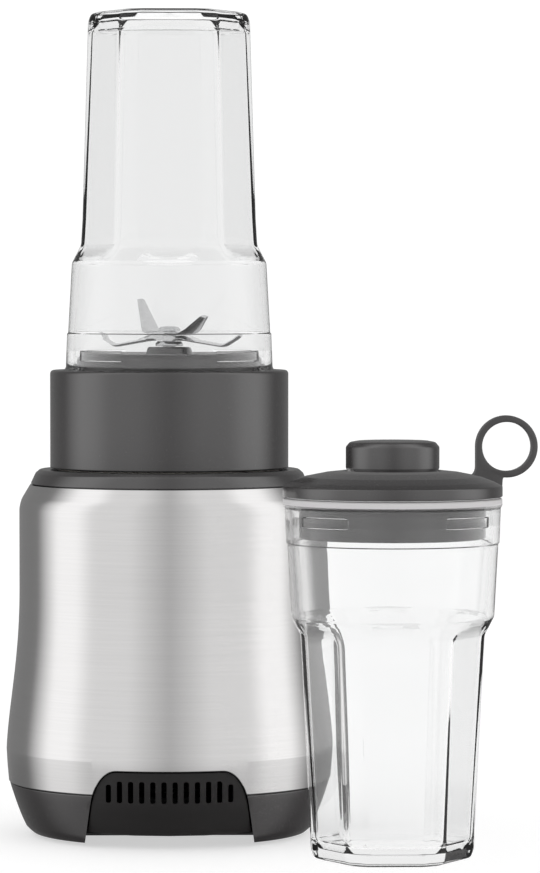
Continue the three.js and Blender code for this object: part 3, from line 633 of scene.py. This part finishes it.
def bottom_screw(number, degrees):
    x, y = around(SCREW_CIRCLE, math.radians(degrees))
    outline = [(0, 3), (3.6, 3, 0.5), (3.6, 4.9), (1.6, 4.9), (1.6, 17), (0, 18)]
    piece = mesh_object(f"bottom_screw_{number}_visual", *turned(outline, 32, (x, y)))
    for half_x, half_y in ((2.1, 0.45), (0.45, 2.1)):
        outline = [(x - half_x, 2), (x + half_x, 2), (x + half_x, 4.3), (x - half_x, 4.3)]
        boolean(piece, prism(outline, y - half_y, y + half_y), "DIFFERENCE")
    return stand_for(piece, f"bottom_screw_{number}")


def coupling(node, outline, lug_bottom, lug_top, first_degrees):
    piece = mesh_object(node + "_visual", *turned(outline, 96))
    lugs = joined(*(sector(5, 12.4, lug_bottom, lug_top, first_degrees + 120 * i, 24, 6) for i in range(3)))
    softened(boolean(piece, lugs, "UNION"), 0.35, 2, 40)
    return stand_for(piece, node)


piece_for("steel_housing", steel_housing(), 28)
skirt = mesh_object("base_skirt_visual", *base_skirt(), 30)
hole = turned([(0, 40), (8.4, 40), (8.4, 100), (0, 100)], FINE)
boolean(skirt, ([(x, z, 15 - y) for x, y, z in hole[0]], hole[1]), "DIFFERENCE")
stand_for(skirt, "base_skirt")
vent_grille()
top_deck()
interlock_ring()
cord_inlet()
for index, foot_angle in enumerate(FOOT_ANGLES):
    foot(index + 1, foot_angle)
    bottom_screw(index + 1, SCREW_STEP * index)
slinger = [(SHAFT_BORE, 171), (15.2, 171, 0.3), (15.2, 169.8, 0.2), (16.4, 169.8, 0.4), (16.4, 172.2, 0.8)]
piece_for("drip_slinger", turned(slinger + [(SHAFT_BORE, 173.2, 0.2)], 96))
drive = [(SHAFT_BORE, 173.6), (10, 173.6, 0.8), (13, 176, 1), (13, 186.2, 0.7), (SHAFT_BORE, 186.2)]
coupling("drive_coupling", drive, 186, 191.4, 0)

# ---------- Blade collar and cutter ----------


def blade_collar():
    outline = [
        (5.4, 203), (10.4, 203, 1), (10.4, 219.6, 2), (40.4, 219.6, 1), (40.4, 210.4, 0.6),
        (52.9, 210.4, 0.8), (52.9, 172, 0.4), (55.9, 172, 0.8), (55.9, 218, 1.7), (50.6, 218, 0.7),
        (50.6, 213, 0.3), (43.4, 213, 0.4), (43.4, 222.6, 1.6), (40.4, 226, 1.6), (32, 223.2, 8),
        (12, 222.8, 3), (10, 229, 1.2), (5.4, 229, 0.5),
    ]
    piece = mesh_object("blade_collar_visual", *turned(outline))
    lugs = [sector(50.2, 54, 172.4, 180, 45 + 90 * i, 14) for i in range(4)]
    threads = [sector(42, 44.1, 216, 218, 45 + 90 * i, 34, 16) for i in range(4)]
    boolean(piece, joined(*lugs, *threads), "UNION")
    return stand_for(piece, "blade_collar")


def blade(node, upper_face, arms, degrees, thickness=1.4, grind=1.7):
    """A bent two-armed blade with ground edges; each arm is (root half width, root, tip half width, tip)."""
    path = rounded(upper_face, closed=False)
    stations = []
    for (x0, z0), (x1, z1) in zip(path, path[1:]):
        steps = max(1, round(math.hypot(x1 - x0, z1 - z0) / 1.5))
        stations += [(x0 + (x1 - x0) * i / steps, z0 + (z1 - z0) * i / steps) for i in range(steps)]
    stations.append(path[-1])
    sections = []
    for i, (x, z) in enumerate(stations):
        before, after = stations[max(i - 1, 0)], stations[min(i + 1, len(stations) - 1)]
        slope = math.atan2(after[1] - before[1], after[0] - before[0])
        root_half, root, tip_half, tip = arms[0] if x < 0 else arms[1]
        along = min(max((abs(x) - root) / (tip - root), 0), 1)
        wide = root_half + (tip_half - root_half) * along
        narrow = root_half + (0.2 * tip_half - root_half) * along
        low_y, high_y = (-narrow, wide) if x < 0 else (-wide, narrow)
        ground = min(grind, 0.42 * (high_y - low_y)) * min(1, max(abs(x) - 6, 0) / 3) + 0.05
        loop = []
        above = [(low_y, 0.55), (low_y + ground, 1), (high_y - ground, 1), (high_y, 0.55)]
        below = [(high_y, 0.45), (high_y - ground, 0), (low_y + ground, 0), (low_y, 0.45)]
        for y, share in above + below:
            drop = thickness * (1 - share)
            loop.append((x + drop * math.sin(slope), y, z - drop * math.cos(slope)))
        sections.append(loop)
    vertices, faces = loft(sections, wrap=False)
    turn = Matrix.Rotation(math.radians(degrees), 3, "Z")
    piece = mesh_object(node + "_visual", [tuple(turn @ Vector(v)) for v in vertices], faces, 20)
    boolean(piece, turned([(0, 220), (SHAFT_BORE, 220), (SHAFT_BORE, 245), (0, 245)], 32), "DIFFERENCE")
    return stand_for(piece, node)


blade_collar()
driven = [(SHAFT_BORE, 192.2), (13, 192.2, 0.5), (13, 198, 1.2), (9, 201.6, 1), (SHAFT_BORE, 201.6)]
coupling("driven_coupling", driven, 187, 192.6, 45)
LOWER_ARM = (5.6, 8, 3.4, 37)
LOWER_PATH = [
    (-36.5, 234.6), (-28.5, 230.2, 5), (-9, 233.3, 5), (9, 233.3, 5), (28.5, 230.2, 5), (36.5, 234.6),
]
blade("lower_blade", LOWER_PATH, (LOWER_ARM, LOWER_ARM), -25)
UPPER_PATH = [(-27.2, 252), (-15, 235.2, 4), (16, 235.2, 6), (32, 244)]
blade("upper_blade", UPPER_PATH, ((6, 13, 3.2, 27.4), (6, 14, 3.6, 32.4)), -58)
spacer = [(SHAFT_BORE, 229.4), (6.6, 229.4, 0.2), (6.6, 230.4, 0.3), (5.6, 231.6, 0.3), (SHAFT_BORE, 231.6)]
piece_for("blade_spacer", turned(spacer, FINE))
shaft = [(0, 189), (2.6, 189), (3, 189.4), (3, 237), (0, 237)]
piece_for("cutter_shaft", turned(shaft, 48))
nut = [(0, 237.5), (3.6, 237.5), (3.6, 235.6), (5.2, 235.6), (5.2, 237.6), (4, 238.7), (0, 239.1)]
stand_for(softened(mesh_object("blade_nut_visual", *turned(nut, 6), 20), 0.2, 2, 20), "blade_nut")

# ---------- Cups ----------

PANEL_HALF = math.radians(22.5)


def panel_factor(angle, depth, radius):
    """How far a flat panel pulls the round wall in at this angle; its end arches up into the shoulder."""
    pitch = TURN / PANELS
    off_centre = (angle + math.pi / 2 + pitch / 2) % pitch - pitch / 2
    plane = math.cos(PANEL_HALF)
    if depth < 64:
        plane = (38.16 + 0.0655 * (64 - depth) ** 2) / radius
    pull = plane / math.cos(off_centre)
    blend = 0.012
    if pull >= 1 + blend:
        return 1.0
    if pull <= 1 - blend:
        return pull
    share = 0.5 + (pull - 1) / (2 * blend)
    return pull + (1 - pull) * share - blend * share * (1 - share)


def resampled(points, longest):
    result = [points[0]]
    for (r0, z0), (r1, z1) in zip(points, points[1:]):
        steps = max(1, math.ceil(math.hypot(r1 - r0, z1 - z0) / longest))
        result += [(r0 + (r1 - r0) * i / steps, z0 + (z1 - z0) * i / steps) for i in range(1, steps + 1)]
    return result


def cup(node, length, end, upside_down, centre):
    """A clear cup from its outline of (radius, depth from the rim, corner radius)."""
    outer = [
        (49.2, 0, 0.9), (49.2, 3.1, 0.8), (48.5, 4.4, 0.6), (47.9, 20, 0.2), (47.4, 20.4, 0.2),
        (45.6, 53, 3), (41.3, 61.5, 4), (40.6, 73.5, 8), (end, length - 5, 5),
        (end - 1.3, length - 1.2, 2.6), (end - 5.5, length, 4),
    ]
    inner = [
        (end - 9.3, length - 5.4, 2), (end - 4.3, length - 9, 3), (37.3, 73.5, 8), (38, 61.5, 4),
        (42.3, 53, 3), (44.9, 20, 5), (45.3, 12, 5), (45.3, 0, 0.9),
    ]
    outline = rounded([(0, length - 5)] + inner + outer + [(0, length)], closed=False)
    rows = resampled(outline, 2.2)
    outer_radius = resampled(rounded(outer, closed=False), 1.0)
    steps = 240
    vertices, rings, faces = [], [], []
    for radius, depth in rows:
        if radius == 0:
            rings.append([len(vertices)] * steps)
            vertices.append((0, 0, depth))
            continue
        rings.append([len(vertices) + i for i in range(steps)])
        wall = interpolated(outer_radius, depth)
        for i in range(steps):
            angle = TURN * i / steps
            reach = radius * panel_factor(angle, depth, wall)
            vertices.append((*around(reach, angle), depth))
    for ring, following in zip(rings, rings[1:]):
        for i in range(steps):
            k = (i + 1) % steps
            faces.append(tuple(dict.fromkeys((ring[i], ring[k], following[k], following[i]))))
    if upside_down:
        place = [(x, y, 215 + z) for x, y, z in vertices]
        bar_bottom = 222.3
    else:
        place = [(x, y, length - z) for x, y, z in vertices]
        bar_bottom = length - 12.3
    piece = mesh_object(node + "_visual", place, faces, 40)
    bar_top = bar_bottom + 5
    bars = [sector(44.3, 46.6, bar_bottom, bar_top, 45 + 90 * i, 34, 20) for i in range(THREAD_BARS)]
    bars = softened(mesh_object("bars", *joined(*bars)), 0.7, 3, 40)
    boolean(piece, solid_of(bars), "UNION")
    piece.data.transform(Matrix.Translation(Vector((centre[0], centre[1], 0)) * MM))
    return stand_for(piece, node)


TRAVEL = (100, -99)
cup("blending_cup", 170.5, 37.9, True, (0, 0))
cup("travel_cup", 162.5, 36.6, False, TRAVEL)


def seal(node, inner, outer, bottom, top, centre):
    soft = 0.45 * (top - bottom)
    outline = [(inner, bottom, soft), (outer, bottom, soft), (outer, top, soft), (inner, top, soft)]
    return piece_for(node, turned(outline, ROUND, centre))


seal("cup_seal", 44.4, 49.8, 213.4, 214.6, (0, 0))
seal("lid_seal", 42.3, 48.1, 162.8, 164.1, TRAVEL)
seal("cap_seal", 11.8, 14.8, 181.4, 184.0, TRAVEL)


def carry_loop():
    """The finger loop and its stem, with rounded edges."""
    centre_x, centre_z, outer, inner, half = 51.0, 185.5, 13.9, 11.0, 3.6
    outline = []
    for i in range(57):
        angle = math.radians(-95 + 275 * i / 56)
        outline.append((centre_x + outer * math.cos(angle), centre_z + outer * math.sin(angle)))
    outline.append((centre_x - outer, 176.5))
    for i in range(1, 9):
        t = i / 8
        x = (centre_x - outer) * ((1 - t) ** 2 + 2 * t * (1 - t)) + 33 * t * t
        outline.append((x, 176.5 * (1 - t) ** 2 + 2 * 172.6 * t * (1 - t) + 171.6 * t * t))
    outline += [(36, 169.6), (46, 167), (49, 167), (49.3, 171.4)]
    piece = mesh_object("loop", *prism(outline, -half, half))
    circle = [around(inner, TURN * i / FINE) for i in range(FINE)]
    hole = [(centre_x + x, centre_z + z) for x, z in circle]
    boolean(piece, prism(hole, -10, 10), "DIFFERENCE")
    return solid_of(softened(piece, 1.0, 4, 40))


def travel_lid():
    outline = [
        (12, 171), (38, 167, 2), (39.3, 165.5, 1), (39.3, 144.5, 0.8), (41.8, 144.5, 0.8),
        (41.8, 164.5, 0.4), (48.6, 164.5, 0.3), (48.6, 163.2, 0.2), (49.3, 163.2, 0.3), (49.3, 167.9, 1.0),
        (45.5, 169.9, 3), (39.7, 172.1, 4), (30, 174, 6), (22.2, 174.8, 0.6), (21.8, 173.8, 0.3),
        (14.4, 173.8, 0.6), (14.4, 181, 0.5), (12, 181, 0.5),
    ]
    piece = mesh_object("travel_lid_visual", *turned(outline))
    boolean(piece, turned([(0, 160), (1, 160), (1, 180), (0, 180)], 24, (-30, 0)), "DIFFERENCE")
    boolean(piece, carry_loop(), "UNION")
    piece.data.transform(Matrix.Translation(Vector((TRAVEL[0], TRAVEL[1], 0)) * MM))
    return stand_for(piece, "travel_lid")


travel_lid()
cap = [
    (0, 184.4), (15.4, 184.4, 0.5), (15.4, 174.2, 0.3), (20.2, 174.2, 0.3), (21, 176, 0.8), (21, 185.4, 1.3),
    (19.2, 187.5, 1.5), (16, 188.1, 4), (0, 188.5),
]
piece_for("drink_cap", turned(cap, 128, TRAVEL))

# ---------- Floor, light and camera ----------


def floor():
    material, tree, shader = new_material("floor")
    slow = stretched_noise(tree, (3, 3, 3), 2)
    tinted(tree, shader, slow, (0.55, 0.55, 0.55), (0.58, 0.58, 0.58))
    shader.inputs["Roughness"].default_value = 0.6
    shader.inputs["Specular IOR Level"].default_value = 0.2
    shader.inputs["Emission Color"].default_value = (1, 1, 1, 1)
    shader.inputs["Emission Strength"].default_value = 0.56
    corners = [(-4000, -1500, 0), (4000, -1500, 0), (4000, 6000, 0), (-4000, 6000, 0)]
    ground = mesh_object("floor", corners, [(0, 1, 2, 3)])
    ground.data.materials.append(material)
    ground.visible_glossy = False


# The studio that shiny surfaces reflect: a gap behind the camera, white walls, a tall softbox at each side
# and dark flags at the back. Each pair is (degrees away from the front, brightness), the same on both sides.
CAMERA_GAP = 0.6
WALL = 1.0
SOFTBOX = 1.4
FLAG = 0.25
STUDIO = (
    (0, CAMERA_GAP), (30, WALL), (60, WALL), (75, SOFTBOX), (95, SOFTBOX), (120, FLAG), (180, FLAG),
)
BRIGHTEST = SOFTBOX
SEEN_THROUGH = 0.91  # brightness that clear parts let through and that matt surfaces catch
BACKDROP = 1.05
UNDER_HORIZON = 0.76  # share of the reflected brightness that is left just below the horizon
STRAIGHT_DOWN = 0.45  # a further share, for directions well below it


def backdrop(tree, brightness):
    shader = add_node(tree, "Background")
    shader.inputs["Color"].default_value = (1, 1, 1, 1)
    shader.inputs["Strength"].default_value = brightness
    return shader.outputs["Background"]


def chosen(tree, switch, when_off, when_on):
    mix = add_node(tree, "MixShader")
    tree.links.new(switch, mix.inputs["Fac"])
    tree.links.new(when_off, mix.inputs[1])
    tree.links.new(when_on, mix.inputs[2])
    return mix.outputs["Shader"]


def studio():
    world = bpy.data.worlds.new("studio")
    bpy.context.scene.world = world
    world.use_nodes = True
    world.cycles.sampling_method = "NONE"
    tree = world.node_tree
    place = add_node(tree, "TexCoord")
    split = add_node(tree, "SeparateXYZ")
    tree.links.new(place.outputs["Generated"], split.inputs["Vector"])
    flipped = add_node(tree, "Math", operation="MULTIPLY")
    flipped.inputs[1].default_value = -1.0
    tree.links.new(split.outputs["Y"], flipped.inputs[0])
    bearing = add_node(tree, "Math", operation="ARCTAN2")
    tree.links.new(split.outputs["X"], bearing.inputs[0])
    tree.links.new(flipped.outputs["Value"], bearing.inputs[1])
    ramp = add_node(tree, "ValToRGB")
    tree.links.new(ranged(tree, bearing.outputs["Value"], (-math.pi, math.pi), (0, 1)), ramp.inputs["Fac"])
    stops = ramp.color_ramp.elements
    both_sides = sorted({(side * away, level) for side in (-1, 1) for away, level in STUDIO})
    for degrees, brightness in both_sides:
        position = (degrees + 180) / 360
        if position in (0, 1):
            stop = stops[0 if position == 0 else len(stops) - 1]
        else:
            stop = stops.new(position)
        value = brightness / BRIGHTEST
        stop.color = (value, value, value, 1)
    reflected = tree.nodes["Background"]
    tree.links.new(ramp.outputs["Color"], reflected.inputs["Color"])
    downward = add_node(tree, "Math", operation="MULTIPLY")
    horizon = ranged(tree, split.outputs["Z"], (-0.17, -0.12), (UNDER_HORIZON, 1.0))
    floorward = ranged(tree, split.outputs["Z"], (-0.6, -0.25), (STRAIGHT_DOWN * BRIGHTEST, BRIGHTEST))
    tree.links.new(horizon, downward.inputs[0])
    tree.links.new(floorward, downward.inputs[1])
    tree.links.new(downward.outputs["Value"], reflected.inputs["Strength"])
    path = add_node(tree, "LightPath")
    soft = backdrop(tree, SEEN_THROUGH)
    shiny = chosen(tree, path.outputs["Is Glossy Ray"], soft, reflected.outputs["Background"])
    clear = chosen(tree, path.outputs["Is Transmission Ray"], shiny, soft)
    final = chosen(tree, path.outputs["Is Camera Ray"], clear, backdrop(tree, BACKDROP))
    tree.links.new(final, tree.nodes["World Output"].inputs["Surface"])


floor()
studio()
for unseen in ("travel_lid_visual", "drink_cap_visual", "lid_seal_visual", "cap_seal_visual"):
    bpy.data.objects[unseen].visible_glossy = False

camera_data = bpy.data.cameras.new("camera")
camera = bpy.data.objects.new("camera", camera_data)
bpy.context.scene.collection.objects.link(camera)
camera_data.sensor_fit = "VERTICAL"
camera_data.sensor_height = 24.0
camera_data.lens = 122.97
camera_data.clip_end = 20
camera.location = (0, -2.1, 0.2578)
camera.rotation_euler = (math.radians(90 - 1.94), 0, math.radians(-1.29))
bpy.context.scene.camera = camera
bpy.context.scene.view_settings.view_transform = "Standard"
bpy.context.scene.cycles.transmission_bounces = 16
bpy.context.scene.cycles.max_bounces = 20
